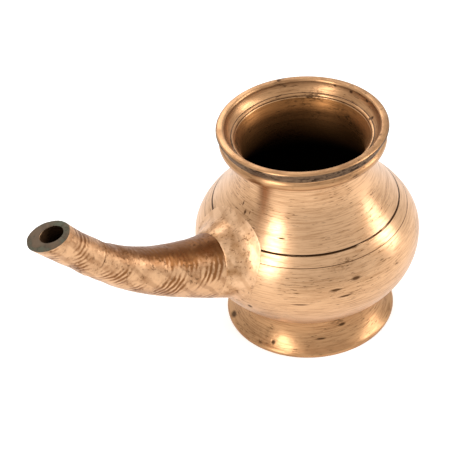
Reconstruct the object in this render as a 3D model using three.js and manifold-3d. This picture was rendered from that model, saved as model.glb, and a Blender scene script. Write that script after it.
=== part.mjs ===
// Spouted water pot of cast and turned brass, in millimetres.
// +Z is up, the foot stands on z = 0 and the spout points along -X.
// Seven castings: foot ring, belly bowl, shoulder shell, rim ring,
// and a spout of three pieces: boss, tube and tip sleeve.
import * as THREE from 'three';
import { mergeVertices } from 'three/addons/utils/BufferGeometryUtils.js';
import Module from 'manifold-3d';

const wasm = await Module();
wasm.setup();

// Walls and joints
const bodyWall = 2.6;
const brazeGap = 0.16;
const lapLength = 4.5;

// Foot ring
const footRadius = 41.0;
const footRestWidth = 2.5;
const footEdgeHeight = 1.4;
const waistRadius = 33.0;
const footSeatInner = 29.4;

// Belly bowl
const bowlBottomHeight = 10.5;
const bowlTurnRadius = 34.2;
const bowlTurnHeight = 16.6;
const bellyRadius = 53.7;
const bellyHeight = 48.0;
const bellySeamHeight = 61.8;

// Shoulder shell
const grooveRadius = 44.3;
const grooveHeight = 66.2;
const grooveWidth = 0.8;
const grooveDepth = 0.5;
const neckRadius = 31.6;
const neckHeight = 93.0;
const neckSeamHeight = 96.0;

// Rim ring
const potHeight = 108.5;
const throatRadius = 28.8;
const throatHeight = 95.0;
const throatBeadRadius = 31.7;
const throatBeadHeight = 101.8;
const throatBeadWidth = 1.7;
const lipRadius = 40.0;
const lipInnerRadius = 36.0;
const lipLandInner = 37.2;
const lipLandOuter = 38.7;
const lipEdgeHeight = 107.4;
const bandRadius = 38.0;
const bandBottom = 102.9;
const bandTop = 105.9;
const collarRadius = 38.9;
const collarHeight = 100.5;
const spigotDepth = 5.0;
const spigotWall = 1.5;

// Spout, as distances out from the pot's axis and heights over the foot
const spoutStartOut = 46.0;
const spoutStartHeight = 50.0;
const spoutStartRise = 16.8;
const spoutStartReach = 52.0;
const spoutMouthOut = 134.5;
const spoutMouthHeight = 110.7;
const spoutMouthRise = 50.7;
const spoutMouthReach = 38.0;
const spoutRootRadius = 16.5;
const spoutWaistRadius = 8.05;
const spoutWaistShare = 0.82;
const spoutTaperPower = 1.45;
const spoutMouthSwell = 0.65;
const spoutBoreRoot = 10.4;
const spoutBoreMouth = 4.8;
const spoutBoreShift = 1.1;
const spoutBoreShiftStart = 86.0;

// Spout joints, along the spout's line from its start
const bossEnd = 12.5;
const bossStep = 0.5;
const socketDepth = 3.2;
const socketRadius = 13.1;
const bossHalfWidth = 24.5;
const bossHalfHeight = 21.0;
const bossPadHeight = 54.0;
const bossPadThickness = 1.9;
const bossSpread = 0.95;
const bossRise = 0.57;
const tipSeam = 81.0;
const tipSpigotLength = 5.0;
const tipSpigotWall = 1.1;
const tipStep = 0.25;
const mouthFacing = 80.0;

// Resolution
const turns = 56;
const spoutSides = 24;

const metal = (colour, roughness) => new THREE.MeshStandardMaterial({
  color: colour,
  roughness,
  metalness: 1,
});

const v2 = (r, z) => new THREE.Vector2(r, z);
const bend = (a, b, c, d, count) => new THREE.CubicBezierCurve(a, b, c, d).getPoints(count);

// Joins point runs and drops the doubled point where one run meets the next.
function run(...lists) {
  const out = [];
  for (const p of lists.flat()) {
    const last = out[out.length - 1];
    if (!last || last.distanceTo(p) > 1e-4) out.push(p);
  }
  return out;
}

// Moves every point of an outline that climbs from the axis inwards by a depth.
function inset(line, depth) {
  return line.map((p, i) => {
    const a = line[Math.max(i - 1, 0)];
    const b = line[Math.min(i + 1, line.length - 1)];
    const along = b.clone().sub(a).normalize();
    return v2(Math.max(p.x - along.y * depth, 0), p.y + along.x * depth);
  });
}

// The part of a climbing outline between two heights, with points at both ends.
function between(line, low, high) {
  const at = (z) => {
    const i = line.findIndex((p, k) => k > 0 && line[k - 1].y <= z && p.y >= z);
    const share = (z - line[i - 1].y) / (line[i].y - line[i - 1].y);
    return line[i - 1].clone().lerp(line[i], share);
  };
  return run([at(low)], line.filter((p) => p.y > low + 0.05 && p.y < high - 0.05), [at(high)]);
}

// Merges a geometry's vertices, drops empty triangles and turns it to face out.
function closed(geometry) {
  geometry.deleteAttribute('uv');
  geometry.deleteAttribute('normal');
  const merged = mergeVertices(geometry, 1e-4);
  const at = merged.attributes.position;
  const from = merged.index.array;
  const kept = [];
  const corner = [new THREE.Vector3(), new THREE.Vector3(), new THREE.Vector3()];
  let volume = 0;
  for (let i = 0; i < from.length; i += 3) {
    const [a, b, c] = [from[i], from[i + 1], from[i + 2]];
    if (a === b || b === c || c === a) continue;
    kept.push(a, b, c);
    [a, b, c].forEach((n, k) => corner[k].fromBufferAttribute(at, n));
    volume += corner[0].dot(corner[1].clone().cross(corner[2]));
  }
  if (volume < 0) {
    for (let i = 0; i < kept.length; i += 3) [kept[i], kept[i + 1]] = [kept[i + 1], kept[i]];
  }
  merged.setIndex(kept);
  return merged;
}

// Turns a closed outline about the pot's axis.
function turned(outline) {
  return closed(new THREE.LatheGeometry(outline, turns).rotateX(Math.PI / 2));
}

function solid(geometry) {
  return new wasm.Manifold(new wasm.Mesh({
    numProp: 3,
    vertProperties: new Float32Array(geometry.attributes.position.array),
    triVerts: new Uint32Array(geometry.index.array),
  }));
}

function geometryOf(body) {
  const mesh = body.getMesh();
  const geometry = new THREE.BufferGeometry();
  geometry.setAttribute('position', new THREE.BufferAttribute(mesh.vertProperties, 3));
  geometry.setIndex(new THREE.BufferAttribute(mesh.triVerts, 1));
  return geometry;
}

// The body's outside from the axis under the bowl to the top of the neck.
const bodyLine = run(
  bend(v2(0, bowlBottomHeight), v2(18, bowlBottomHeight), v2(29, 12.6),
    v2(bowlTurnRadius, bowlTurnHeight), 5),
  bend(v2(bowlTurnRadius, bowlTurnHeight), v2(38.8, 21.3), v2(bellyRadius, 29),
    v2(bellyRadius, bellyHeight), 7),
  bend(v2(bellyRadius, bellyHeight), v2(bellyRadius, bellyHeight + 8.6), v2(47.4, 62.6),
    v2(grooveRadius, grooveHeight), 5),
  bend(v2(grooveRadius, grooveHeight), v2(37.4, 75), v2(neckRadius, 81.6),
    v2(neckRadius, neckHeight), 7),
  [v2(neckRadius, neckSeamHeight)],
);

const lapTop = bellySeamHeight + lapLength;
const lapMiddle = bodyWall / 2;
const spigotOuter = throatRadius + spigotWall;
const spigotBottom = neckSeamHeight - spigotDepth;

// Foot ring: a flared hollow ring, brazed under the bowl on a curved seat.
function footRing() {
  const seatLine = between(bodyLine, 11.2, 16.2).filter((p) => p.x > footSeatInner);
  const seat = inset(seatLine, -brazeGap).filter((p) => p.x < waistRadius + 0.4);
  const top = seat[seat.length - 1];
  const flare = bend(v2(footRadius - 0.9, footEdgeHeight + 0.9), v2(36.6, 4.6),
    v2(waistRadius - 0.2, 9.4), v2(top.x, top.y - 0.4), 6);
  const edge = [v2(footRadius - 0.5, 0), v2(footRadius, 0.5), v2(footRadius, footEdgeHeight)];
  const inside = bend(v2(footSeatInner, seat[0].y - 1.2), v2(footSeatInner + 0.8, 7.5),
    v2(34.4, 3.4), v2(footRadius - footRestWidth, 0), 5);
  return turned(run(edge, flare, [...seat].reverse(), inside, [edge[0]]));
}

// Belly bowl: closed below, with a tongue that laps inside the shoulder.
function bellyBowl() {
  const outside = between(bodyLine, bowlBottomHeight, bellySeamHeight);
  const tongue = between(bodyLine, bellySeamHeight, lapTop);
  const inside = inset(between(bodyLine, bowlBottomHeight, lapTop), bodyWall);
  inside[0].x = 0;
  const bowl = turned(run(
    outside,
    inset(tongue, lapMiddle + brazeGap / 2),
    [...inside].reverse(),
  ));
  return geometryOf(solid(bowl).subtract(boreTool(-20, bossEnd)));
}

// Shoulder shell: from the belly seam over the groove to the neck's socket.
function shoulderShell() {
  const low = bellySeamHeight + brazeGap;
  const half = grooveWidth / 2;
  const groove = [v2(grooveRadius - grooveDepth, grooveHeight)];
  const outside = run(
    between(bodyLine, low, grooveHeight - half),
    groove,
    between(bodyLine, grooveHeight + half, neckSeamHeight - brazeGap),
  );
  const socket = spigotOuter + brazeGap;
  const floor = spigotBottom - brazeGap;
  const inside = inset(between(bodyLine, lapTop + brazeGap, neckSeamHeight), bodyWall)
    .filter((p) => p.y < floor - 0.2);
  const lap = inset(between(bodyLine, low, lapTop + brazeGap), lapMiddle - brazeGap / 2);
  return turned(run(
    outside,
    [v2(socket, neckSeamHeight - brazeGap), v2(socket, floor)],
    [v2(neckRadius - bodyWall, floor)],
    [...inside].reverse(),
    [...lap].reverse(),
    [outside[0]],
  ));
}

// Rim ring: collar, recessed band and lip outside; throat, bead and funnel inside.
function rimRing() {
  const beadTop = v2(throatBeadRadius + throatBeadWidth, throatBeadHeight + 1.3);
  return turned(run(
    [v2(throatRadius, spigotBottom), v2(spigotOuter, spigotBottom)],
    [v2(spigotOuter, neckSeamHeight), v2(neckRadius, neckSeamHeight)],
    bend(v2(neckRadius + 0.3, neckSeamHeight + 0.3), v2(34.4, 96.6), v2(36.6, 97.4),
      v2(collarRadius - 0.6, 98.8), 4),
    bend(v2(collarRadius - 0.6, 98.8), v2(collarRadius + 0.2, collarHeight - 0.9),
      v2(collarRadius + 0.2, collarHeight + 0.9), v2(collarRadius - 0.2, 101.9), 4),
    [v2(bandRadius, bandBottom), v2(bandRadius, bandTop)],
    bend(v2(lipRadius - 0.9, bandTop + 0.3), v2(lipRadius + 0.4, lipEdgeHeight - 0.9),
      v2(lipRadius + 0.4, potHeight - 0.3), v2(lipLandOuter, potHeight), 5),
    bend(v2(lipLandInner, potHeight), v2(lipLandInner - 0.7, potHeight),
      v2(lipInnerRadius, potHeight - 0.6), v2(lipInnerRadius, lipEdgeHeight - 0.2), 3),
    bend(v2(lipInnerRadius, lipEdgeHeight - 0.2), v2(lipInnerRadius - 0.5, 105.2),
      v2(34.6, 104.2), v2(beadTop.x + 0.2, beadTop.y + 0.2), 4),
    bend(v2(beadTop.x, beadTop.y), v2(throatBeadRadius + 0.7, throatBeadHeight + 1.6),
      v2(throatBeadRadius - 0.1, throatBeadHeight + 1), v2(throatBeadRadius, throatBeadHeight), 4),
    bend(v2(throatBeadRadius - 0.3, throatBeadHeight - 0.3), v2(30.4, 99.8),
      v2(throatRadius, 97.6), v2(throatRadius, throatHeight), 4),
    [v2(throatRadius, spigotBottom)],
  ));
}

// The spout's line in the plane y = 0, straight beyond both ends.
const toPoint = (out, height) => new THREE.Vector3(-out, 0, height);
const toward = (rise) => {
  const angle = THREE.MathUtils.degToRad(rise);
  return toPoint(Math.cos(angle), Math.sin(angle));
};
const spoutStart = toPoint(spoutStartOut, spoutStartHeight);
const spoutMouth = toPoint(spoutMouthOut, spoutMouthHeight);
const spoutLine = new THREE.CubicBezierCurve3(
  spoutStart,
  spoutStart.clone().addScaledVector(toward(spoutStartRise), spoutStartReach),
  spoutMouth.clone().addScaledVector(toward(spoutMouthRise), -spoutMouthReach),
  spoutMouth,
);
const spoutLength = spoutLine.getLength();

function station(distance) {
  const share = THREE.MathUtils.clamp(distance / spoutLength, 0, 1);
  const along = spoutLine.getTangentAt(share);
  const centre = spoutLine.getPointAt(share);
  centre.addScaledVector(along, distance - share * spoutLength);
  const side = new THREE.Vector3(0, 1, 0);
  return { centre, along, side, up: along.clone().cross(side).negate() };
}

const spoutOuter = (distance) => {
  const share = Math.max(distance, 0) / spoutLength;
  const fall = Math.max(1 - share / spoutWaistShare, 0) ** spoutTaperPower;
  const past = Math.max(share - spoutWaistShare, 0) / (1 - spoutWaistShare);
  const swell = spoutMouthSwell * Math.min(past, 1) ** 2;
  return spoutWaistRadius + (spoutRootRadius - spoutWaistRadius) * fall + swell;
};
const spoutBore = (distance) => {
  const share = THREE.MathUtils.clamp(distance / spoutLength, 0, 1);
  return spoutBoreRoot + (spoutBoreMouth - spoutBoreRoot) * share;
};
const boreShift = (distance) => {
  const past = (distance - spoutBoreShiftStart) / (spoutLength - spoutBoreShiftStart);
  return spoutBoreShift * THREE.MathUtils.smoothstep(past, 0, 1);
};

// A closed solid through oval rings set square to the spout's line.
function loft(start, end, count, halfWidth, halfHeight, lift = () => 0) {
  const points = [];
  const faces = [];
  const rings = count + 1;
  for (let i = 0; i < rings; i += 1) {
    const distance = start + (end - start) * (i / count);
    const { centre, side, up } = station(distance);
    const middle = centre.clone().addScaledVector(up, lift(distance));
    for (let k = 0; k < spoutSides; k += 1) {
      const angle = (2 * Math.PI * k) / spoutSides;
      const p = middle.clone();
      p.addScaledVector(side, halfWidth(distance) * Math.cos(angle));
      p.addScaledVector(up, halfHeight(distance) * Math.sin(angle));
      points.push(p.x, p.y, p.z);
    }
  }
  for (let i = 0; i < count; i += 1) {
    for (let k = 0; k < spoutSides; k += 1) {
      const a = i * spoutSides + k;
      const b = i * spoutSides + ((k + 1) % spoutSides);
      faces.push(a, b, b + spoutSides, a, b + spoutSides, a + spoutSides);
    }
  }
  const last = (rings - 1) * spoutSides;
  for (let k = 1; k < spoutSides - 1; k += 1) {
    faces.push(0, k + 1, k, last, last + k, last + k + 1);
  }
  const geometry = new THREE.BufferGeometry();
  geometry.setAttribute('position', new THREE.Float32BufferAttribute(points, 3));
  geometry.setIndex(faces);
  return solid(closed(geometry));
}

const tube = (start, end, count, radius, lift) => loft(start, end, count, radius, radius, lift);

function boreTool(start, end) {
  const count = Math.max(Math.round((end - start) / 7), 2);
  return tube(start, end, count, spoutBore, boreShift);
}

// Spout boss: a pad that hugs the turned body and rises to the tube's socket.
function spoutBoss() {
  const reachBack = -14;
  const back = (distance) => Math.max(bossEnd - distance, 0);
  const endRadius = spoutOuter(bossEnd) + bossStep;
  const flare = loft(reachBack, bossEnd, 12,
    (d) => Math.min(endRadius + bossSpread * back(d), bossHalfWidth),
    (d) => endRadius + bossRise * back(d));
  const skinLine = (offset) => {
    const line = inset(bodyLine, -offset);
    line[0].x = 0;
    return solid(turned([...line, v2(0, line[line.length - 1].y)]));
  };
  const oval = new THREE.CylinderGeometry(1, 1, bellyRadius, spoutSides * 2)
    .rotateZ(Math.PI / 2)
    .scale(1, bossHalfWidth, bossHalfHeight)
    .translate(-bellyRadius * 0.9, 0, bossPadHeight);
  const outlineOval = solid(closed(oval));
  const pad = skinLine(bossPadThickness).intersect(outlineOval);
  const body = skinLine(brazeGap);
  const socket = tube(bossEnd - socketDepth, bossEnd + 4, 2, () => socketRadius);
  return geometryOf(flare.intersect(outlineOval).add(pad).subtract(body).subtract(socket)
    .subtract(boreTool(-20, bossEnd + 4)));
}

// Spout tube: tapered and curved, with a spigot at each end.
function spoutTube() {
  const start = bossEnd + brazeGap;
  const rootSpigot = tube(bossEnd - socketDepth + brazeGap, start + 2, 2,
    () => socketRadius - brazeGap);
  const outside = tube(start, tipSeam, 11, spoutOuter);
  const spigot = tipSpigotLength - brazeGap;
  const tipSpigot = tube(tipSeam - 2, tipSeam + spigot, 3,
    () => spoutBore(tipSeam) + tipSpigotWall);
  return geometryOf(outside.add(rootSpigot).add(tipSpigot)
    .subtract(boreTool(bossEnd - 8, tipSeam + 14)));
}

// Spout tip: a sleeve over the tube's end, cut nearly level, with its bore off centre.
function spoutTip() {
  const start = tipSeam + brazeGap;
  const outside = tube(start, spoutLength + 16, 9, (d) => spoutOuter(d) + tipStep);
  const socket = tube(tipSeam - 2, tipSeam + tipSpigotLength, 3,
    () => spoutBore(tipSeam) + tipSpigotWall + brazeGap);
  const bore = boreTool(tipSeam - 4, spoutLength + 24);
  const size = 60;
  const cutter = new THREE.BoxGeometry(size, size, size)
    .translate(0, 0, size / 2)
    .rotateY(-THREE.MathUtils.degToRad(90 - mouthFacing))
    .translate(spoutMouth.x, spoutMouth.y, spoutMouth.z);
  return geometryOf(outside.subtract(socket).subtract(bore).subtract(solid(closed(cutter))));
}

const parts = [
  ['foot_ring', footRing(), 0xa88a5c, 0.42],
  ['belly_bowl', bellyBowl(), 0xb59a6a, 0.36],
  ['shoulder_shell', shoulderShell(), 0xbda274, 0.34],
  ['rim_ring', rimRing(), 0x9c8460, 0.4],
  ['spout_boss', spoutBoss(), 0xab8f62, 0.48],
  ['spout_tube', spoutTube(), 0xa98c5e, 0.46],
  ['spout_tip', spoutTip(), 0x9d8a63, 0.46],
];

const group = new THREE.Group();
group.name = 'water_pot';
for (const [name, geometry, colour, roughness] of parts) {
  geometry.computeVertexNormals();
  const mesh = new THREE.Mesh(geometry, metal(colour, roughness));
  mesh.name = name;
  group.add(mesh);
  console.log(name, geometry.index.count / 3, 'triangles');
}

export default group;
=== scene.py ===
# %% [markdown]
# A spouted water pot of cast and turned brass.
#
# The real pot is a handful of castings. The body and the rim were turned on
# a lathe, so every line on them runs round the axis. The spout was cast,
# bent upwards and finished with a file and a hammer, so it stays rough.
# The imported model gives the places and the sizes. This script makes each
# casting again at a finer grain and gives it its metal.

# %% Load the frame
import bpy
import math
from mathutils import Matrix, Vector, noise


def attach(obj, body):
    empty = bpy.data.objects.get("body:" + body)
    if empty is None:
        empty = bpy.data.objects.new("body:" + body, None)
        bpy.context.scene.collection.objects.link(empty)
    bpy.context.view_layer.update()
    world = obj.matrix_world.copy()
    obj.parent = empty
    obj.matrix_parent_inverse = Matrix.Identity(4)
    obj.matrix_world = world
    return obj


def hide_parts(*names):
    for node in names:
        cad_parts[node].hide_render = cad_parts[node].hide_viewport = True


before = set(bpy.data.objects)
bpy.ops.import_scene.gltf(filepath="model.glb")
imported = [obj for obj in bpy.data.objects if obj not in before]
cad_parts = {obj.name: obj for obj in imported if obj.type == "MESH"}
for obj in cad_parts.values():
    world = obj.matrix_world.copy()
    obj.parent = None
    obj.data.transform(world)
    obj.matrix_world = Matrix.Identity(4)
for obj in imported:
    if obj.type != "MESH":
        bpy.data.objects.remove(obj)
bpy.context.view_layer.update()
MM = 0.001
print("nodes", sorted(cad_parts))

# %% [markdown]
# Three small helpers come first. Most operators act on all that is selected,
# and the loaded nodes start out selected, so everything is let go first.
# A finished piece keeps its place in its mesh, so its transforms are applied.

# %% Helpers for objects
MERGE_GAP = 0.004
SMOOTH_ANGLE = math.radians(38)


def select_only(piece):
    bpy.ops.object.select_all(action="DESELECT")
    piece.select_set(True)
    bpy.context.view_layer.objects.active = piece


def settle(piece):
    select_only(piece)
    bpy.ops.object.transform_apply(location=True, rotation=True, scale=True)


def apply_modifier(piece, kind, **settings):
    select_only(piece)
    modifier = piece.modifiers.new(kind.lower(), kind)
    for name, value in settings.items():
        setattr(modifier, name, value)
    bpy.ops.object.modifier_apply(modifier=modifier.name)


# %% [markdown]
# A turned casting is drawn as a lathe hand would draw it: half a section,
# in millimetres out from the axis and up from the table. The round stretches
# are Bezier curves. One point is extruded along the outline, and the outline
# is then spun about the axis.

# %% Outlines and the lathe
LATHE_STEPS = 160


def bend(a, b, c, d, count):
    points = []
    for i in range(count + 1):
        t = i / count
        u = 1 - t
        points.append(tuple(
            u**3 * a[k] + 3 * u * u * t * b[k] + 3 * u * t * t * c[k] + t**3 * d[k]
            for k in (0, 1)))
    return points


def join_runs(*runs):
    points = []
    for point in (p for run in runs for p in run):
        if not points or math.dist(point, points[-1]) > 1e-3:
            points.append(point)
    return points


def inset(line, depth):
    moved = []
    for i, (r, z) in enumerate(line):
        a, b = line[max(i - 1, 0)], line[min(i + 1, len(line) - 1)]
        length = math.dist(a, b)
        moved.append((max(r - (b[1] - a[1]) / length * depth, 0.0),
                      z + (b[0] - a[0]) / length * depth))
    return moved


def turn(name, outline, steps=LATHE_STEPS):
    bpy.ops.object.select_all(action="DESELECT")
    bpy.ops.mesh.primitive_plane_add(size=MM, location=(0, 0, 0))
    piece = bpy.context.object
    piece.name = name
    bpy.ops.object.mode_set(mode="EDIT")
    bpy.ops.mesh.select_mode(type="VERT")
    bpy.ops.mesh.select_all(action="SELECT")
    bpy.ops.mesh.merge(type="CENTER")
    r, z = outline[0]
    bpy.ops.transform.translate(value=(r * MM, 0, z * MM))
    for (r0, z0), (r1, z1) in zip(outline, outline[1:]):
        step = ((r1 - r0) * MM, 0, (z1 - z0) * MM)
        bpy.ops.mesh.extrude_region_move(TRANSFORM_OT_translate={"value": step})
    bpy.ops.mesh.select_all(action="SELECT")
    bpy.ops.mesh.spin(steps=steps, angle=math.tau, center=(0, 0, 0), axis=(0, 0, 1))
    bpy.ops.mesh.select_all(action="SELECT")
    bpy.ops.mesh.remove_doubles(threshold=MERGE_GAP * MM)
    bpy.ops.mesh.normals_make_consistent(inside=False)
    bpy.ops.object.mode_set(mode="OBJECT")
    settle(piece)
    bpy.ops.object.shade_smooth_by_angle(angle=SMOOTH_ANGLE)
    print(name, len(piece.data.polygons), "faces")
    return piece


# %% [markdown]
# The body's outside is one line from the middle of the bowl's underside,
# out over the belly, in along the shoulder and up the neck. The bowl and the
# shoulder are separate castings, so the line is split where they are brazed.

# %% The body's outside line
BODY_WALL = 2.6
BELLY_RADIUS, BELLY_HEIGHT = 53.7, 48.0
SEAM_HEIGHT, SEAM_GAP = 61.8, 0.08
GROOVE_RADIUS, GROOVE_HEIGHT, GROOVE_WIDTH, GROOVE_DEPTH = 44.3, 66.2, 0.8, 0.5
NECK_RADIUS, NECK_HEIGHT, NECK_SEAM = 31.6, 93.0, 96.0
BOWL_BOTTOM = 10.5

body_line = join_runs(
    bend((0, BOWL_BOTTOM), (18, BOWL_BOTTOM), (29, 12.6), (34.2, 16.6), 14),
    bend((34.2, 16.6), (38.8, 21.3), (BELLY_RADIUS, 29), (BELLY_RADIUS, BELLY_HEIGHT), 30),
    bend((BELLY_RADIUS, BELLY_HEIGHT), (BELLY_RADIUS, BELLY_HEIGHT + 8.6), (47.4, 62.6),
         (GROOVE_RADIUS, GROOVE_HEIGHT), 22),
    bend((GROOVE_RADIUS, GROOVE_HEIGHT), (37.4, 75), (NECK_RADIUS, 81.6),
         (NECK_RADIUS, NECK_HEIGHT), 30),
    [(NECK_RADIUS, NECK_SEAM)])


def between(line, low, high):
    def at(height):
        for (r0, z0), (r1, z1) in zip(line, line[1:]):
            if z0 <= height <= z1 and z1 > z0:
                return (r0 + (r1 - r0) * (height - z0) / (z1 - z0), height)
    middle = [p for p in line if low + 0.05 < p[1] < high - 0.05]
    return join_runs([at(low)], middle, [at(high)])


# %% The belly bowl
bowl_outside = between(body_line, BOWL_BOTTOM, SEAM_HEIGHT)
bowl_inside = inset(bowl_outside, BODY_WALL)
bowl_inside[0] = (0.0, BOWL_BOTTOM + BODY_WALL)
belly = turn("belly_bowl_turned", join_runs(bowl_outside, bowl_inside[::-1]))

# %% The shoulder shell
groove_half = GROOVE_WIDTH / 2
shoulder_outside = join_runs(
    between(body_line, SEAM_HEIGHT + SEAM_GAP, GROOVE_HEIGHT - groove_half),
    [(GROOVE_RADIUS - GROOVE_DEPTH, GROOVE_HEIGHT)],
    between(body_line, GROOVE_HEIGHT + groove_half, NECK_SEAM - SEAM_GAP))
shoulder_inside = inset(
    between(body_line, SEAM_HEIGHT + SEAM_GAP, NECK_SEAM - SEAM_GAP), BODY_WALL)
shoulder = turn("shoulder_shell_turned", join_runs(
    shoulder_outside, shoulder_inside[::-1], [shoulder_outside[0]]))

# %% [markdown]
# The foot is a flared hollow ring. Its lower edge is rolled thick where it
# takes the wear, and its top follows the underside of the bowl.

# %% The foot ring
FOOT_RADIUS, FOOT_REST, FOOT_SEAT_INNER, WAIST_RADIUS = 41.0, 2.5, 29.4, 33.0
SEAT_LOW, SEAT_HIGH, BRAZE_GAP = 11.2, 16.2, 0.16
seat = [p for p in inset(between(body_line, SEAT_LOW, SEAT_HIGH), -BRAZE_GAP)
        if FOOT_SEAT_INNER < p[0] < WAIST_RADIUS + 0.4]
seat_top = seat[-1]
foot_outline = join_runs(
    [(FOOT_RADIUS - 0.5, 0.0), (FOOT_RADIUS - 0.15, 0.15), (FOOT_RADIUS, 0.5),
     (FOOT_RADIUS, 1.2), (FOOT_RADIUS - 0.25, 1.8)],
    bend((FOOT_RADIUS - 0.9, 2.3), (36.6, 4.6), (WAIST_RADIUS - 0.2, 9.4),
         (seat_top[0], seat_top[1] - 0.4), 24),
    seat[::-1],
    bend((FOOT_SEAT_INNER, seat[0][1] - 1.2), (FOOT_SEAT_INNER + 0.8, 7.5), (34.4, 3.4),
         (FOOT_RADIUS - FOOT_REST, 0.0), 18),
    [(FOOT_RADIUS - 0.5, 0.0)])
foot = turn("foot_ring_turned", foot_outline)

# %% [markdown]
# The rim is a heavy ring. Outside it has a rounded collar, a sunk band and
# the lip, and inside a dished funnel falls to a bright bead over the throat.

# %% The rim ring
THROAT_RADIUS, BEAD_RADIUS, BEAD_HEIGHT = 28.8, 31.7, 101.8
LIP_RADIUS, LIP_INNER, LIP_EDGE, POT_HEIGHT = 40.0, 36.0, 107.4, 108.5
BAND_RADIUS, BAND_BOTTOM, BAND_TOP = 38.0, 102.9, 105.9
COLLAR_RADIUS, COLLAR_HEIGHT, SPIGOT_BOTTOM = 38.9, 100.5, 91.0
rim_outline = join_runs(
    [(THROAT_RADIUS, SPIGOT_BOTTOM), (28.95, SPIGOT_BOTTOM), (28.95, NECK_SEAM),
     (NECK_RADIUS, NECK_SEAM)],
    bend((NECK_RADIUS + 0.3, NECK_SEAM + 0.3), (34.4, 96.6), (36.6, 97.4),
         (COLLAR_RADIUS - 0.6, 98.8), 12),
    bend((COLLAR_RADIUS - 0.6, 98.8), (COLLAR_RADIUS + 0.2, COLLAR_HEIGHT - 0.9),
         (COLLAR_RADIUS + 0.2, COLLAR_HEIGHT + 0.9), (COLLAR_RADIUS - 0.2, 101.9), 12),
    bend((COLLAR_RADIUS - 0.5, 102.2), (BAND_RADIUS + 0.1, 102.5), (BAND_RADIUS, 102.7),
         (BAND_RADIUS, BAND_BOTTOM + 0.3), 4),
    bend((BAND_RADIUS, BAND_TOP - 0.4), (BAND_RADIUS, BAND_TOP),
         (BAND_RADIUS + 0.4, BAND_TOP + 0.1), (LIP_RADIUS - 0.9, BAND_TOP + 0.3), 4),
    bend((LIP_RADIUS - 0.9, BAND_TOP + 0.3), (LIP_RADIUS + 0.35, LIP_EDGE - 0.9),
         (LIP_RADIUS + 0.35, POT_HEIGHT - 0.3), (38.7, POT_HEIGHT), 14),
    bend((37.2, POT_HEIGHT), (36.5, POT_HEIGHT), (LIP_INNER, POT_HEIGHT - 0.6),
         (LIP_INNER, LIP_EDGE - 0.2), 8),
    bend((LIP_INNER, LIP_EDGE - 0.2), (LIP_INNER - 0.5, 105.2), (34.6, 104.2),
         (BEAD_RADIUS + 1.9, BEAD_HEIGHT + 1.5), 12),
    bend((BEAD_RADIUS + 1.7, BEAD_HEIGHT + 1.3), (BEAD_RADIUS + 0.7, BEAD_HEIGHT + 1.6),
         (BEAD_RADIUS - 0.1, BEAD_HEIGHT + 1), (BEAD_RADIUS, BEAD_HEIGHT), 10),
    bend((BEAD_RADIUS - 0.3, BEAD_HEIGHT - 0.3), (30.4, 99.8), (THROAT_RADIUS, 97.6),
         (THROAT_RADIUS, 95.0), 12),
    [(THROAT_RADIUS, SPIGOT_BOTTOM)])
rim = turn("rim_ring_turned", rim_outline)

# %% [markdown]
# The spout's line rises slowly out of the belly and then turns up. A straight
# tapered tube is turned first and then bent along that line, as the smith
# bent the casting. The file marks go on while it is straight: shallow waves
# that cross the tube at a slant, strong in some patches and gone in others.
# How deep each point is cut is kept in a point attribute, for the metal to read, and after
# bending the faces that look up add painted shade to it.

# %% The spout's line
START, START_RISE, START_REACH = Vector((-46.0, 0, 50.0)), 16.8, 52.0
MOUTH, MOUTH_RISE, MOUTH_REACH = Vector((-134.5, 0, 110.7)), 50.7, 38.0


def toward(rise):
    return Vector((-math.cos(math.radians(rise)), 0, math.sin(math.radians(rise))))


bpy.ops.object.select_all(action="DESELECT")
bpy.ops.curve.primitive_bezier_curve_add(location=(0, 0, 0))
spout_line = bpy.context.object
spout_line.name = "spout_line"
spout_line.data.dimensions = "3D"
spout_line.data.resolution_u = 96
spline = spout_line.data.splines[0]
for knot, place, aim in ((spline.bezier_points[0], START, toward(START_RISE) * START_REACH),
                         (spline.bezier_points[1], MOUTH, toward(MOUTH_RISE) * MOUTH_REACH)):
    knot.handle_left_type = knot.handle_right_type = "FREE"
    knot.co = place * MM
    knot.handle_left = (place - aim) * MM
    knot.handle_right = (place + aim) * MM
spout_length = spline.calc_length() / MM
print("spout line", round(spout_length, 2), "mm")

# %% The spout's sizes along its line
ROOT_RADIUS, WAIST, WAIST_SHARE, TAPER_POWER, MOUTH_SWELL = 16.5, 8.05, 0.82, 1.45, 0.65
BORE_ROOT, BORE_MOUTH, BORE_SHIFT = 10.4, 4.8, 1.1
BOSS_END, TIP_SEAM = 12.5, 81.0


def clamp(share):
    return min(max(share, 0), 1)


def ease(share):
    return share * share * (3 - 2 * share)


def spout_radius(distance):
    share = max(distance, 0) / spout_length
    fall = max(1 - share / WAIST_SHARE, 0) ** TAPER_POWER
    past = clamp((share - WAIST_SHARE) / (1 - WAIST_SHARE))
    return WAIST + (ROOT_RADIUS - WAIST) * fall + MOUTH_SWELL * past**2


def bore_radius(distance):
    return BORE_ROOT + (BORE_MOUTH - BORE_ROOT) * clamp(distance / spout_length)


print("radius at the root", spout_radius(0),
      "and at the mouth", round(spout_radius(spout_length), 2))

# %% The file marks and the lumps of the casting
MARK_PITCH, MARK_SLANT, MARK_STRAY = 2.7, 5.5, 1.4
MARK_TURN, MARK_DEPTH, LUMP_DEPTH, GRAIN_DEPTH = 0.6, 0.12, 0.5, 0.16
# Noise is sampled at a place in millimetres times one of these, so 0.11
# gives patches about nine millimetres wide.
PATCH_SCALE, STRAY_SCALE, LUMP_SCALE, GRAIN_SCALE = 0.11, 0.33, 0.13, 0.8


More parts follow.
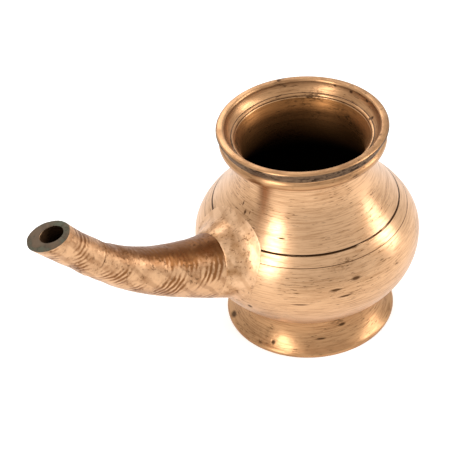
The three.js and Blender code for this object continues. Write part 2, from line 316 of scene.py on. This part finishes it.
def file_marks(radius, angle, distance):
    place = Vector((math.cos(angle) * radius, math.sin(angle) * radius, distance))
    patch = noise.noise(place * PATCH_SCALE)
    stray = noise.noise(place * STRAY_SCALE + Vector((9, 2, 5)))
    slant = distance + MARK_SLANT * math.sin(angle + MARK_TURN)
    wave = 0.5 + 0.5 * math.sin(math.tau * slant / MARK_PITCH + MARK_STRAY * stray)
    lump = noise.noise(place * LUMP_SCALE + Vector((4, 4, 1)))
    grain = noise.noise(place * GRAIN_SCALE)
    cut = wave * clamp(0.35 + 1.6 * patch)
    return MARK_DEPTH * cut + LUMP_DEPTH * max(lump, 0) + GRAIN_DEPTH * max(grain, 0), cut


# %% A stretch of the spout, marked and bent
TUBE_STEPS, EDGE_SOFT, JOINT_SWELL, SWELL_REACH = 112, 0.35, 0.5, 4
# The top share and its weight paint shade: faces that look up are darkened with patina colour,
# standing in for the shade along the spout's top.
RIDGE_FROM, RIDGE_SPAN, TOP_PAINTED_SHADE, BORE_MARGIN = 0.45, 0.4, 0.7, 0.05


def top_shade_share(vertex):
    return clamp((vertex.normal.z - RIDGE_FROM) / RIDGE_SPAN)


def cast_tube(name, start, end, step, extra=0.0):
    count = round((end - start) / step)
    stops = [start + (end - start) * i / count for i in range(count + 1)]
    outside = []
    for s in stops:
        swell = JOINT_SWELL * math.exp(-abs(s - BOSS_END) / SWELL_REACH)
        outside.append((spout_radius(s) + extra + swell, s))
    inside = [(bore_radius(s), s) for s in stops]
    edge_low = [(outside[0][0] - EDGE_SOFT, start), (outside[0][0], start + EDGE_SOFT)]
    edge_high = [(outside[-1][0], end - EDGE_SOFT), (outside[-1][0] - EDGE_SOFT, end)]
    section = join_runs(edge_low, outside[1:-1], edge_high, inside[::-1], [edge_low[0]])
    piece = turn(name, section, TUBE_STEPS)
    inner = []
    patina_and_shade = piece.data.attributes.new("patina_and_shade", "FLOAT", "POINT")
    for vertex in piece.data.vertices:
        x, y, s = (c / MM for c in vertex.co)
        radius, angle = math.hypot(x, y), math.atan2(y, x)
        if radius < bore_radius(s) + BORE_MARGIN:
            inner.append(vertex.index)
        else:
            depth, cut = file_marks(radius, angle, s)
            patina_and_shade.data[vertex.index].value = cut
            scale = (radius - depth) / radius
            vertex.co.x *= scale
            vertex.co.y *= scale
    apply_modifier(piece, "CURVE", object=spout_line, deform_axis="POS_Z")
    # Painted shade: after bending, the faces that look up get extra patina colour, standing in
    # for the shade along the spout's top.
    for vertex in piece.data.vertices:
        stained = piece.data.attributes["patina_and_shade"].data[vertex.index]
        stained.value += TOP_PAINTED_SHADE * top_shade_share(vertex)
    return piece, inner


# %% The spout tube
SPIGOT_LENGTH, JOINT_GAP, TUBE_STEP = 1.0, 0.1, 0.55
tube, _ = cast_tube("spout_tube_filed", BOSS_END - SPIGOT_LENGTH, TIP_SEAM - JOINT_GAP, TUBE_STEP)

# %% [markdown]
# The tip is a sleeve over the tube's end. Its bore sits off centre, towards
# the pot, and its mouth is cut nearly level, so the cut runs across it
# at a slant. The cut's edges are worn round.

# %% The spout tip
MOUTH_FACING, TIP_OVERRUN, SHIFT_REACH = 80.0, 14, 24
MOUTH_WEAR, SLEEVE_EXTRA, TIP_STEP, CUT_SIZE = 0.45, 0.25, 0.5, 60
tip, tip_bore = cast_tube("spout_tip_filed", TIP_SEAM + JOINT_GAP, spout_length + TIP_OVERRUN,
                          TIP_STEP, SLEEVE_EXTRA)
lift = Vector((toward(MOUTH_RISE).z, 0, -toward(MOUTH_RISE).x))
for index in tip_bore:
    vertex = tip.data.vertices[index]
    ahead = ((vertex.co / MM) - MOUTH).dot(toward(MOUTH_RISE)) + SHIFT_REACH
    vertex.co += lift * (BORE_SHIFT * ease(clamp(ahead / SHIFT_REACH)) * MM)
bpy.ops.object.select_all(action="DESELECT")
cut_size = CUT_SIZE * MM
tilt = math.radians(90 - MOUTH_FACING)
out = Vector((-math.sin(tilt), 0, math.cos(tilt)))
bpy.ops.mesh.primitive_cube_add(size=cut_size, location=MOUTH * MM + out * cut_size / 2,
                                rotation=(0, -tilt, 0))
cutter = bpy.context.object
apply_modifier(tip, "BOOLEAN", object=cutter, operation="DIFFERENCE", solver="EXACT")
bpy.data.objects.remove(cutter)
apply_modifier(tip, "BEVEL", width=MOUTH_WEAR * MM, segments=3, limit_method="ANGLE",
               angle_limit=math.radians(50))
select_only(tip)
bpy.ops.object.shade_smooth_by_angle(angle=SMOOTH_ANGLE)
print("tip", len(tip.data.polygons), "faces")

# %% [markdown]
# The boss was cast on over the belly, so its edge is soft and uneven. Its
# exact solid is copied from the frame, remeshed finely and smoothed, which
# rounds its edges as a casting's are. Then its thickness is faded out towards
# its oval edge, so it has no step there, and it gets the marks of the hammer.

# %% The spout boss
BOSS_VOXEL, BOSS_ROUNDS = 0.42, 14
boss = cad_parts["spout_boss"].copy()
boss.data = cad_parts["spout_boss"].data.copy()
bpy.context.collection.objects.link(boss)
boss.name = "spout_boss_cast"
boss.parent = None
boss.matrix_world = Matrix.Identity(4)
select_only(boss)
bpy.ops.object.mode_set(mode="EDIT")
bpy.ops.mesh.select_all(action="SELECT")
bpy.ops.mesh.remove_doubles(threshold=MERGE_GAP * MM)
bpy.ops.object.mode_set(mode="OBJECT")
apply_modifier(boss, "REMESH", mode="VOXEL", voxel_size=BOSS_VOXEL * MM)
apply_modifier(boss, "SMOOTH", factor=0.5, iterations=BOSS_ROUNDS)
print("boss before its marks", len(boss.data.polygons), "faces")

# %% The boss's soft edge and hammer marks
OVAL_WIDTH, OVAL_HEIGHT, OVAL_CENTRE = 24.5, 21.0, 54.0
FEATHER_FROM, FEATHER_SPAN, FEATHER_SHARE = 0.62, 0.36, 0.94
OUTER_FACE, LEAST_PROUD, MOST_SUNK, UNDER_SKIN, SHAPED_FROM = 0.45, 0.07, 0.02, 0.3, 0.6
DENT_DEPTH, DENT_SCALE, PIT_DEPTH, PIT_SCALE = 0.5, 0.17, 0.25, 0.55
MOTTLE_SCALE, BOSS_TOP_PAINTED_SHADE = 0.22, 0.4


def body_radius(height):
    for (r0, z0), (r1, z1) in zip(body_line, body_line[1:]):
        if z0 <= height <= z1 and z1 > z0:
            return r0 + (r1 - r0) * (height - z0) / (z1 - z0)
    return NECK_RADIUS


patina_and_shade = boss.data.attributes.new("patina_and_shade", "FLOAT", "POINT")
for vertex in boss.data.vertices:
    place = vertex.co / MM
    reach = math.hypot(place.x, place.y)
    skin = body_radius(place.z)
    proud = reach - skin
    oval = math.hypot(place.y / OVAL_WIDTH, (place.z - OVAL_CENTRE) / OVAL_HEIGHT)
    keep = 1 - FEATHER_SHARE * ease(clamp((oval - FEATHER_FROM) / FEATHER_SPAN))
    dent = (DENT_DEPTH * max(noise.noise(place * DENT_SCALE), 0)
            + PIT_DEPTH * max(noise.noise(place * PIT_SCALE), 0))
    if proud > OUTER_FACE:
        fresh = max((proud - dent * keep) * keep, LEAST_PROUD)
    else:
        fresh = min(proud, MOST_SUNK) - UNDER_SKIN
    if oval > SHAPED_FROM or proud > OUTER_FACE:
        scale = (skin + fresh) / reach
        vertex.co.x *= scale
        vertex.co.y *= scale
    mottle = clamp(0.9 * noise.noise(place * MOTTLE_SCALE) + 0.3)
    # Painted shade: the boss's faces that look up get extra patina colour, standing in for the
    # shade on its top; the mottle is its own uneven tone.
    patina_and_shade.data[vertex.index].value = (mottle + BOSS_TOP_PAINTED_SHADE * top_shade_share(vertex)) * keep
bpy.ops.object.shade_smooth()
print("boss", len(boss.data.polygons), "faces")

# %% [markdown]
# The spout's bore opens into the belly, so the bowl has a port inside the
# boss. It is cut with a round tool set along the spout's first stretch.

# %% The port in the bowl
PORT_DEPTH = 24
bpy.ops.object.select_all(action="DESELECT")
port_lean = (0, math.radians(START_RISE) - math.pi / 2, 0)
bpy.ops.mesh.primitive_cylinder_add(radius=BORE_ROOT * MM, depth=PORT_DEPTH * MM, vertices=64,
                                    location=START * MM, rotation=port_lean)
port_tool = bpy.context.object
apply_modifier(belly, "BOOLEAN", object=port_tool, operation="DIFFERENCE", solver="EXACT")
bpy.data.objects.remove(port_tool)
bpy.data.objects.remove(spout_line)
select_only(belly)
bpy.ops.object.shade_smooth_by_angle(angle=SMOOTH_ANGLE)
print("belly with its port", len(belly.data.polygons), "faces")

# %% Tie the pieces to the frame
stands_for = {"belly_bowl": belly, "shoulder_shell": shoulder, "foot_ring": foot,
              "rim_ring": rim, "spout_tube": tube, "spout_tip": tip, "spout_boss": boss}
for node, piece in stands_for.items():
    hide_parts(node)
    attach(piece, "root")
print("tied", len(stands_for), "pieces to root")

# %% [markdown]
# The metal is old brass. On the turned pieces the polish is streaked round
# the pot, and brown patina stays where hands don't rub: in patches low on
# the belly, in the groove and inside. The sunk band is dark, and the inside
# and the neck under the collar are also painted darker as shade. One helper
# turns a hex colour to linear light, and one adds a node. The last two say how
# much of a stain shows, where its patterns are strong enough, and lay it on.

# %% Helpers for materials
def linear(hex_colour):
    values = [int(hex_colour[i:i + 2], 16) / 255 for i in (1, 3, 5)]
    return [v / 12.92 if v <= 0.04045 else ((v + 0.055) / 1.055) ** 2.4 for v in values] + [1.0]


def add_node(tree, kind, inputs=None, **settings):
    node = tree.nodes.new(kind)
    for name, value in settings.items():
        setattr(node, name, value)
    for key, value in (inputs or {}).items():
        if isinstance(value, bpy.types.NodeSocket):
            tree.links.new(value, node.inputs[key])
        else:
            node.inputs[key].default_value = value
    return node


def new_material(name):
    material = bpy.data.materials.new(name)
    material.use_nodes = True
    tree = material.node_tree
    tree.nodes.clear()
    return material, tree


def stain_share(tree, most, *patterns):
    share = most
    for pattern, none_at, full_at in patterns:
        shown = add_node(tree, "ShaderNodeMapRange", {0: pattern, 1: none_at, 2: full_at},
                         interpolation_type="SMOOTHSTEP").outputs[0]
        share = add_node(tree, "ShaderNodeMath", {0: share, 1: shown},
                         operation="MULTIPLY").outputs[0]
    return share


def stain(tree, metal, tint, most, *patterns):
    return add_node(tree, "ShaderNodeMix",
                    {0: stain_share(tree, most, *patterns), 6: metal, 7: linear(tint)},
                    data_type="RGBA").outputs[2]


# %% [markdown]
# Turned brass: rubbed gold tan, with fine streaks and short brown dashes that
# run round the pot, fine tool lines and brown patches a thumb wide. The
# streaks are noise that is squashed along the axis. The tool lines of a real
# lathe are about a tenth of a millimetre apart, too fine to show here, so
# they are drawn four times as wide. The rubbing runs round the pot as well,
# so the reflections are drawn out across it.

# %% The patterns of turned brass
PER_MM = 1000.0

# Each pattern is a size in millimetres, a stretch, a detail, a roughness and
# a shift, which only moves it apart from the others.
TURNED_PATTERNS = {"streak": (0.6, (0.05, 0.05, 1), 6, 0.65, (0, 0, 0)),
                   "dashes": (0.5, (0.12, 0.12, 1), 3, 0.6, (3, 1, 2)),
                   "broad": (26, (1, 1, 1.6), 4, 0.6, (3, 1, 2)),
                   "patch": (17, (1, 1, 1.7), 6, 0.65, (0.4, 2.1, 0.7)),
                   "speck": (1.6, (0.6, 0.6, 1.6), 4, 0.6, (5, 5, 1)),
                   "lines": (0.4, (0.02, 0.02, 1), 2, 0.5, (0, 0, 0))}
RUBBED_ROUND, ROUND_THE_POT = 0.65, 0.25
LINE_DEPTH, SPECK_DEPTH = 0.05, 0.12
print("patterns", list(TURNED_PATTERNS))


# %% A nick in the metal
def nick_mask(tree, place, angle, height, radius, half_width, half_height, lean):
    turn_by = math.radians(angle)
    centre = (radius * math.cos(turn_by) * MM, radius * math.sin(turn_by) * MM, height * MM)
    local = add_node(tree, "ShaderNodeVectorMath", {0: place, 1: centre}, operation="SUBTRACT")
    local = add_node(tree, "ShaderNodeVectorRotate",
                     {"Vector": local.outputs[0], "Angle": -turn_by}, rotation_type="Z_AXIS")
    squeezed = add_node(tree, "ShaderNodeMapping",
                        {"Vector": local.outputs[0], "Rotation": (math.radians(lean), 0, 0),
                         "Scale": (PER_MM / 4, PER_MM / half_width, PER_MM / half_height)})
    far = add_node(tree, "ShaderNodeVectorMath", {0: squeezed.outputs[0]}, operation="LENGTH")
    return add_node(tree, "ShaderNodeMapRange", {0: far.outputs[1], 1: 1.0, 2: 0.45}).outputs[0]


# %% Turned brass
def turned_brass(name, polish, patina_and_shade, deep, patch_low, patch_high, rough,
                 bands=(), nicks=(), painted_shade_below=None):
    material, tree = new_material(name)
    place = add_node(tree, "ShaderNodeTexCoord").outputs["Object"]
    height = add_node(tree, "ShaderNodeSeparateXYZ", {0: place}).outputs[2]
    pattern = {}
    for kind, (size, stretch, detail, fine, shift) in TURNED_PATTERNS.items():
        moved = add_node(tree, "ShaderNodeMapping",
                         {"Vector": place, "Scale": stretch, "Location": shift}).outputs[0]
        pattern[kind] = add_node(tree, "ShaderNodeTexNoise",
                                 {"Vector": moved, "Scale": PER_MM / size, "Detail": detail,
                                  "Roughness": fine}).outputs[0]
    streak, broad, speck = pattern["streak"], pattern["broad"], pattern["speck"]
    colour = stain(tree, linear(polish), patina_and_shade, 0.5, (streak, 0.42, 0.68))
    colour = stain(tree, colour, patina_and_shade, 0.3, (broad, 0.46, 0.66))
    colour = stain(tree, colour, deep, 0.75, (pattern["dashes"], 0.57, 0.68), (broad, 0.38, 0.58))
    spots = stain_share(tree, 1.0, (pattern["patch"], patch_low, patch_high), (speck, 0.4, 0.62))
    for nick in nicks:
        spots = add_node(tree, "ShaderNodeMath", {0: spots, 1: nick_mask(tree, place, *nick)},
                         operation="MAXIMUM").outputs[0]
    share = add_node(tree, "ShaderNodeMath", {0: spots, 1: 0.9}, operation="MULTIPLY").outputs[0]
    colour = stain(tree, colour, deep, share)
    for centre, half, tint in bands:
        away = add_node(tree, "ShaderNodeMath", {0: height, 1: centre * MM},
                        operation="SUBTRACT").outputs[0]
        away = add_node(tree, "ShaderNodeMath", {0: away}, operation="ABSOLUTE").outputs[0]
        colour = stain(tree, colour, tint, 1.0,
                       (away, half * 1.3 * MM, half * 0.6 * MM), (streak, 0.25, 0.45))
    # Painted shade: the inside is blended towards near black lower down, standing in for the
    # shade deep in the pot.
    if painted_shade_below:
        full_at, none_at = painted_shade_below
        colour = stain(tree, colour, "#120b06", 1.0, (height, none_at * MM, full_at * MM))
    roughness = add_node(tree, "ShaderNodeMapRange",
                         {0: streak, 1: 0.3, 2: 0.8, 3: rough, 4: rough + 0.14}).outputs[0]
    roughness = add_node(tree, "ShaderNodeMath", {0: spots, 1: 0.18, 2: roughness},
                         operation="MULTIPLY_ADD").outputs[0]
    sunk = add_node(tree, "ShaderNodeMath", {0: spots, 1: -1.5, 2: speck},
                    operation="MULTIPLY_ADD").outputs[0]
    bump = add_node(tree, "ShaderNodeBump",
                    {"Height": pattern["lines"], "Strength": 0.4, "Distance": LINE_DEPTH * MM})
    bump = add_node(tree, "ShaderNodeBump",
                    {"Height": sunk, "Strength": 0.35, "Distance": SPECK_DEPTH * MM,
                     "Normal": bump.outputs[0]})
    around = add_node(tree, "ShaderNodeTangent", direction_type="RADIAL", axis="Z")
    shader = add_node(tree, "ShaderNodeBsdfPrincipled",
                      {"Base Color": colour, "Metallic": 1.0, "Roughness": roughness,
                       "Anisotropic": RUBBED_ROUND, "Anisotropic Rotation": ROUND_THE_POT,
                       "Normal": bump.outputs[0], "Tangent": around.outputs[0]})
    add_node(tree, "ShaderNodeOutputMaterial", {0: shader.outputs[0]})
    return material


# %% [markdown]
# The body is the brightest. The foot and the rim are a shade browner, the
# sunk band and the lip's outer face are dark, the neck under the collar is
# painted dark as shade, and the inside is painted darker with depth as shade
# over its patina. The groove and the seam each hold a thin band of patina.
# The nicks are the ones that show in the photo.

# %% The turned metals
# Each nick is an angle round the axis, a height, a radius, then half its
# width, half its height and its lean, all in degrees and millimetres.
body_nicks = [(179.9, 79.5, 34.9, 0.5, 1.5, 25), (-175.3, 76.8, 36.5, 0.9, 1.2, 60),
              (178.6, 70.7, 40.8, 1.1, 2.2, 40), (-171.0, 77.6, 35.9, 0.4, 0.9, 20),
              (-100.9, 54.8, 52.4, 3.0, 1.1, 0), (-112.0, 51.7, 53.3, 3.6, 0.8, 0),
              (-107.6, 47.3, 53.7, 4.0, 0.7, 0), (-157.8, 36.9, 51.8, 1.6, 1.3, 0),
              (-130.0, 44.8, 53.6, 5.0, 0.5, 0), (-142.0, 72.0, 39.8, 2.2, 0.35, 0)]
foot_nicks = [(-98.8, 11.2, 33.5, 2.4, 1.0, 0), (-154.6, 4.1, 37.9, 1.3, 1.0, 0),
              (-118.0, 7.0, 35.0, 3.2, 0.5, 0), (160.1, 3.1, 39.1, 3.0, 1.4, 0)]
rim_nicks = [(13.6, 106.4, 35.8, 1.3, 0.8, 0), (28.0, 106.9, 36.0, 1.1, 0.7, 0),
             (-4.0, 106.6, 35.9, 1.4, 0.8, 0), (-19.5, 103.4, 33.7, 1.1, 1.0, 0)]
body_brass = turned_brass(
    "brass_turned_and_rubbed", "#cfa57e", "#8c623c", "#4a2e19", 0.62, 0.76, 0.27,
    bands=[(GROOVE_HEIGHT, 0.42, "#3a2413"), (SEAM_HEIGHT, 0.14, "#6e4c2e")], nicks=body_nicks)
foot_brass = turned_brass(
    "brass_turned_foot", "#b88d64", "#7b5334", "#46301d", 0.56, 0.72, 0.3, nicks=foot_nicks)
rim_brass = turned_brass(
    "brass_turned_rim", "#b68b63", "#7a5436", "#402817", 0.56, 0.72, 0.3, nicks=rim_nicks)
# Dark metal for the sunk band and the lip's outer face; on the lip's underside and on the neck
# under the collar it is painted shade.
dark_band_and_crevice_shade_brass = turned_brass(
    "brass_dark_band_and_painted_crevice_shade", "#79614c", "#54433a", "#2b1f17", 0.4, 0.6, 0.45)
# Inside metal: darker patina, with painted shade that deepens towards the bottom of the pot.
inside_patina_and_shade_brass = turned_brass(
    "brass_inside_patina_and_painted_shade", "#93643a", "#5f3d20", "#2a190c", 0.46, 0.68, 0.42,
    painted_shade_below=(66, 101))
# Painted shade: the bore near the mouth is coloured dark, standing in for the shade inside it.
bore_shade_brass = turned_brass("brass_bore_painted_shade", "#4a3422", "#2f2115", "#150e08", 0.4, 0.6, 0.6)
print("turned brass", body_brass.name, foot_brass.name, rim_brass.name, dark_band_and_crevice_shade_brass.name,
      inside_patina_and_shade_brass.name, bore_shade_brass.name)

# %% [markdown]
# Filed cast brass: the same metal left rough. Brown patina fills the file
# marks, the tops of the spout and boss are painted darker as shade, bright
# metal shows where it is worn, and slanted marks cross it. The cut mouth has
# the grey green of copper salts, which aren't metal, so it shines less.

# %% Filed cast brass
FILED_PATTERNS = {"lump": (9, (1, 1, 1), 6, 0.62, (0, 0, 0)),
                  "grain": (1.5, (1, 1, 1), 5, 0.6, (2, 3, 4)),
                  "pits": (0.8, (1, 1, 1), 2, 0.5, (7, 1, 3))}
FILE_LEAN = (0, math.radians(35), math.radians(20))
FILE_WAVE, GRAIN_RELIEF, PIT_RELIEF = 22, 0.2, 0.1


def filed_brass(name, polish, patina_and_shade, deep, salts=None):
    rough, metallic = (0.62, 0.55) if salts else (0.42, 1.0)
    material, tree = new_material(name)
    place = add_node(tree, "ShaderNodeTexCoord").outputs["Object"]
    pattern = {}
    for kind, (size, stretch, detail, fine, shift) in FILED_PATTERNS.items():
        moved = add_node(tree, "ShaderNodeMapping",
                         {"Vector": place, "Scale": stretch, "Location": shift}).outputs[0]
        pattern[kind] = add_node(tree, "ShaderNodeTexNoise",
                                 {"Vector": moved, "Scale": PER_MM / size, "Detail": detail,
                                  "Roughness": fine}).outputs[0]
    lump, grain = pattern["lump"], pattern["grain"]
    turned = add_node(tree, "ShaderNodeMapping", {"Vector": place, "Rotation": FILE_LEAN})
    marks = add_node(tree, "ShaderNodeTexWave",
                     {"Vector": turned.outputs[0], "Scale": PER_MM / FILE_WAVE,
                      "Distortion": 1.5, "Detail": 3.0, "Detail Scale": 2.5}).outputs[1]
    # This attribute holds the depth of the file marks and the painted shade on the upward faces
    # of the spout and the boss.
    hollow_and_top_shade = add_node(tree, "ShaderNodeAttribute", attribute_name="patina_and_shade").outputs["Fac"]
    ragged = add_node(tree, "ShaderNodeMath", {0: grain, 1: 0.8, 2: hollow_and_top_shade},
                      operation="MULTIPLY_ADD").outputs[0]
    colour = stain(tree, linear(polish), patina_and_shade, 0.6, (lump, 0.4, 0.7))
    colour = stain(tree, colour, patina_and_shade, 1.0, (ragged, 0.4, 1.15))
    colour = stain(tree, colour, patina_and_shade, 0.35, (marks, 0.6, 0.95))
    spots = stain_share(tree, 1.0, (grain, 0.52, 0.66), (lump, 0.42, 0.6))
    share = add_node(tree, "ShaderNodeMath", {0: spots, 1: 0.5}, operation="MULTIPLY").outputs[0]
    colour = stain(tree, colour, deep, share)
    if salts:
        colour = stain(tree, colour, salts, 1.0, (lump, 0.45, 0.7))
    roughness = add_node(tree, "ShaderNodeMath", {0: spots, 1: 0.2, 2: rough},
                         operation="MULTIPLY_ADD").outputs[0]
    bump = add_node(tree, "ShaderNodeBump",
                    {"Height": grain, "Strength": 0.45, "Distance": GRAIN_RELIEF * MM})
    bump = add_node(tree, "ShaderNodeBump",
                    {"Height": pattern["pits"], "Strength": 0.25, "Distance": PIT_RELIEF * MM,
                     "Normal": bump.outputs[0]})
    shader = add_node(tree, "ShaderNodeBsdfPrincipled",
                      {"Base Color": colour, "Metallic": metallic, "Roughness": roughness,
                       "Normal": bump.outputs[0]})
    add_node(tree, "ShaderNodeOutputMaterial", {0: shader.outputs[0]})
    return material


spout_brass = filed_brass("brass_cast_and_filed", "#cfa57e", "#7f5432", "#3a2411")
boss_brass = filed_brass("brass_cast_boss", "#d9b08a", "#a47952", "#4f331b")
mouth_brass = filed_brass("brass_cut_mouth_with_salts", "#5f4c39", "#3d3023", "#231b13",
                          salts="#4f5342")
print("cast brass", spout_brass.name, boss_brass.name, mouth_brass.name)

# %% [markdown]
# Each piece gets its outer metal first. The faces that another metal covers
# are then found by their place and the way they face: the inside of the
# walls, with patina and painted shade, the sunk band, the lip's outer face,
# the neck under the collar, painted dark as shade, the cut mouth, and the
# bore, painted dark as shade.

# %% Give each piece its metal
WALL_DEPTH, FLOOR_TOP = 1.2, 30


def dress(piece, outer, *others):
    piece.data.materials.clear()
    piece.data.materials.append(outer)
    for metal, is_there in others:
        piece.data.materials.append(metal)
        slot = len(piece.data.materials) - 1
        for face in piece.data.polygons:
            if is_there(face.center / MM, face.normal):
                face.material_index = slot


def faces_axis(centre, normal):
    return Vector((centre.x, centre.y, 0)).dot(Vector((normal.x, normal.y, 0))) < -0.02


def inside_body(centre, normal):
    depth = body_radius(centre.z) - math.hypot(centre.x, centre.y)
    on_the_floor = normal.z > 0.5 and centre.z < FLOOR_TOP
    return depth > WALL_DEPTH and (faces_axis(centre, normal) or on_the_floor)


def on_dark_band_and_crevice(centre, normal):
    sunk = BAND_BOTTOM + 0.2 < centre.z < BAND_TOP + 2.0
    # Painted shade: the neck just under the collar gets the dark band metal, standing in for the
    # shade in the crevice there.
    under_collar = NECK_SEAM < centre.z < 98.2
    return (sunk or under_collar) and not faces_axis(centre, normal)


def on_the_mouth(centre, normal):
    return normal.dot(out) > 0.6 and (centre - MOUTH).dot(out) > -0.8


def in_the_bore(centre, normal):
    from_mouth = centre - MOUTH
    off_line = (from_mouth - lift * BORE_SHIFT).cross(toward(MOUTH_RISE)).length
    return from_mouth.dot(out) < -0.4 and off_line < BORE_MOUTH + 1.2 and normal.dot(out) < 0.6


dress(belly, body_brass, (inside_patina_and_shade_brass, inside_body))
dress(shoulder, body_brass, (inside_patina_and_shade_brass, faces_axis))
# The foot's inner underside takes the inside metal, so it is painted near black as shade too.
dress(foot, foot_brass, (inside_patina_and_shade_brass, lambda c, n: faces_axis(c, n) and n.z < 0))
dress(rim, rim_brass,
      (inside_patina_and_shade_brass, lambda c, n: faces_axis(c, n) and c.z < BEAD_HEIGHT - 0.2),
      (dark_band_and_crevice_shade_brass, on_dark_band_and_crevice))
dress(tube, spout_brass)
dress(boss, boss_brass)
dress(tip, spout_brass, (mouth_brass, on_the_mouth), (bore_shade_brass, in_the_bore))
for piece in stands_for.values():
    print(piece.name, [metal.name for metal in piece.data.materials])

# %% [markdown]
# The pot stands on white and is lit by three soft boxes, one at each side and
# one behind. The floor is plain, and takes the pot's shadow. Both the floor and
# the world show brighter to the camera and to reflections than they light
# the pot, so the background is white and the brass isn't washed out.

# %% Floor and world
FLOOR_SIZE, FLOOR_DROP, FLOOR_GLOW = 6.0, 0.0002, 0.4
WORLD_LIGHT, WORLD_SHOWN = 0.75, 1.0


def seen_or_mirrored(tree):
    rays = add_node(tree, "ShaderNodeLightPath")
    seen = rays.outputs["Is Camera Ray"]
    for ray in ("Is Glossy Ray", "Is Transmission Ray"):
        seen = add_node(tree, "ShaderNodeMath", {0: seen, 1: rays.outputs[ray]},
                        operation="MAXIMUM").outputs[0]
    return seen


bpy.ops.object.select_all(action="DESELECT")
bpy.ops.mesh.primitive_plane_add(size=FLOOR_SIZE, location=(0, 0, -FLOOR_DROP))
floor = bpy.context.object
floor.name = "pale_floor"
floor_material, tree = new_material("pale_floor_paint")
paint = add_node(tree, "ShaderNodeBsdfDiffuse", {"Color": linear("#f2f1ef")})
glow_strength = add_node(tree, "ShaderNodeMath", {0: seen_or_mirrored(tree), 1: FLOOR_GLOW},
                         operation="MULTIPLY").outputs[0]
glow = add_node(tree, "ShaderNodeEmission", {0: linear("#ffffff"), 1: glow_strength})
both = add_node(tree, "ShaderNodeAddShader", {0: paint.outputs[0], 1: glow.outputs[0]})
add_node(tree, "ShaderNodeOutputMaterial", {0: both.outputs[0]})
floor.data.materials.append(floor_material)

world = bpy.data.worlds.new("studio")
bpy.context.scene.world = world
world.use_nodes = True
tree = world.node_tree
tree.nodes.clear()
strength = add_node(tree, "ShaderNodeMapRange",
                    {0: seen_or_mirrored(tree), 3: WORLD_LIGHT, 4: WORLD_SHOWN}).outputs[0]
background = add_node(tree, "ShaderNodeBackground", {0: linear("#ffffff"), 1: strength})
add_node(tree, "ShaderNodeOutputWorld", {0: background.outputs[0]})
print("floor", FLOOR_SIZE, "m wide, world light", WORLD_LIGHT)

# %% Soft boxes
AIM = Vector((-0.03, 0, 0.06))


def soft_box(name, place, width, height, power):
    bpy.ops.object.select_all(action="DESELECT")
    bpy.ops.object.light_add(type="AREA", location=place)
    lamp = bpy.context.object
    lamp.name = name
    lamp.data.shape = "RECTANGLE"
    lamp.data.size, lamp.data.size_y = width, height
    lamp.data.energy = power
    lamp.rotation_euler = (AIM - Vector(place)).to_track_quat("-Z", "Y").to_euler()
    return lamp


lamps = [soft_box("soft_box_left", (-0.86, -0.2, 0.75), 0.3, 0.9, 6.0),
         soft_box("soft_box_right", (0.78, -0.48, 0.62), 0.3, 0.9, 5.0),
         soft_box("soft_box_back", (0.25, 0.95, 0.8), 0.7, 0.5, 3.0)]
print("lamps", [(lamp.name, lamp.data.energy) for lamp in lamps])

# %% [markdown]
# The camera's place, turn and lens come from fitting the pot's rim, groove
# and outline to the photo, seen with the spout to the left.

# %% Camera
LENS_PIXELS, FRAME_PIXELS, SENSOR = 1766.2, 450, 36.0
CAMERA_BACK, CAMERA_HEIGHT, CAMERA_TURN = 663.89, 578.02, -35.0
PAN, TILT, ROLL = math.radians(3.375), math.radians(38.386), math.radians(-4.688)
spin = Matrix.Rotation(math.radians(CAMERA_TURN), 3, "Z")
ahead = Vector((-math.sin(PAN) * math.cos(TILT), math.cos(PAN) * math.cos(TILT), -math.sin(TILT)))
right = Vector((math.cos(PAN), math.sin(PAN), 0))
above = right.cross(ahead)
right, above = (math.cos(ROLL) * right + math.sin(ROLL) * above,
                -math.sin(ROLL) * right + math.cos(ROLL) * above)
bpy.ops.object.select_all(action="DESELECT")
bpy.ops.object.camera_add(location=spin @ Vector((0, -CAMERA_BACK, CAMERA_HEIGHT)) * MM)
camera = bpy.context.object
axes = Matrix((spin @ right, spin @ above, -(spin @ ahead))).transposed()
camera.rotation_euler = axes.to_euler()
camera.data.sensor_width = SENSOR
camera.data.lens = LENS_PIXELS / FRAME_PIXELS * SENSOR
camera.data.clip_end = 20
bpy.context.scene.camera = camera
bpy.context.scene.view_settings.view_transform = "Standard"
print("camera at", [round(value, 3) for value in camera.location])
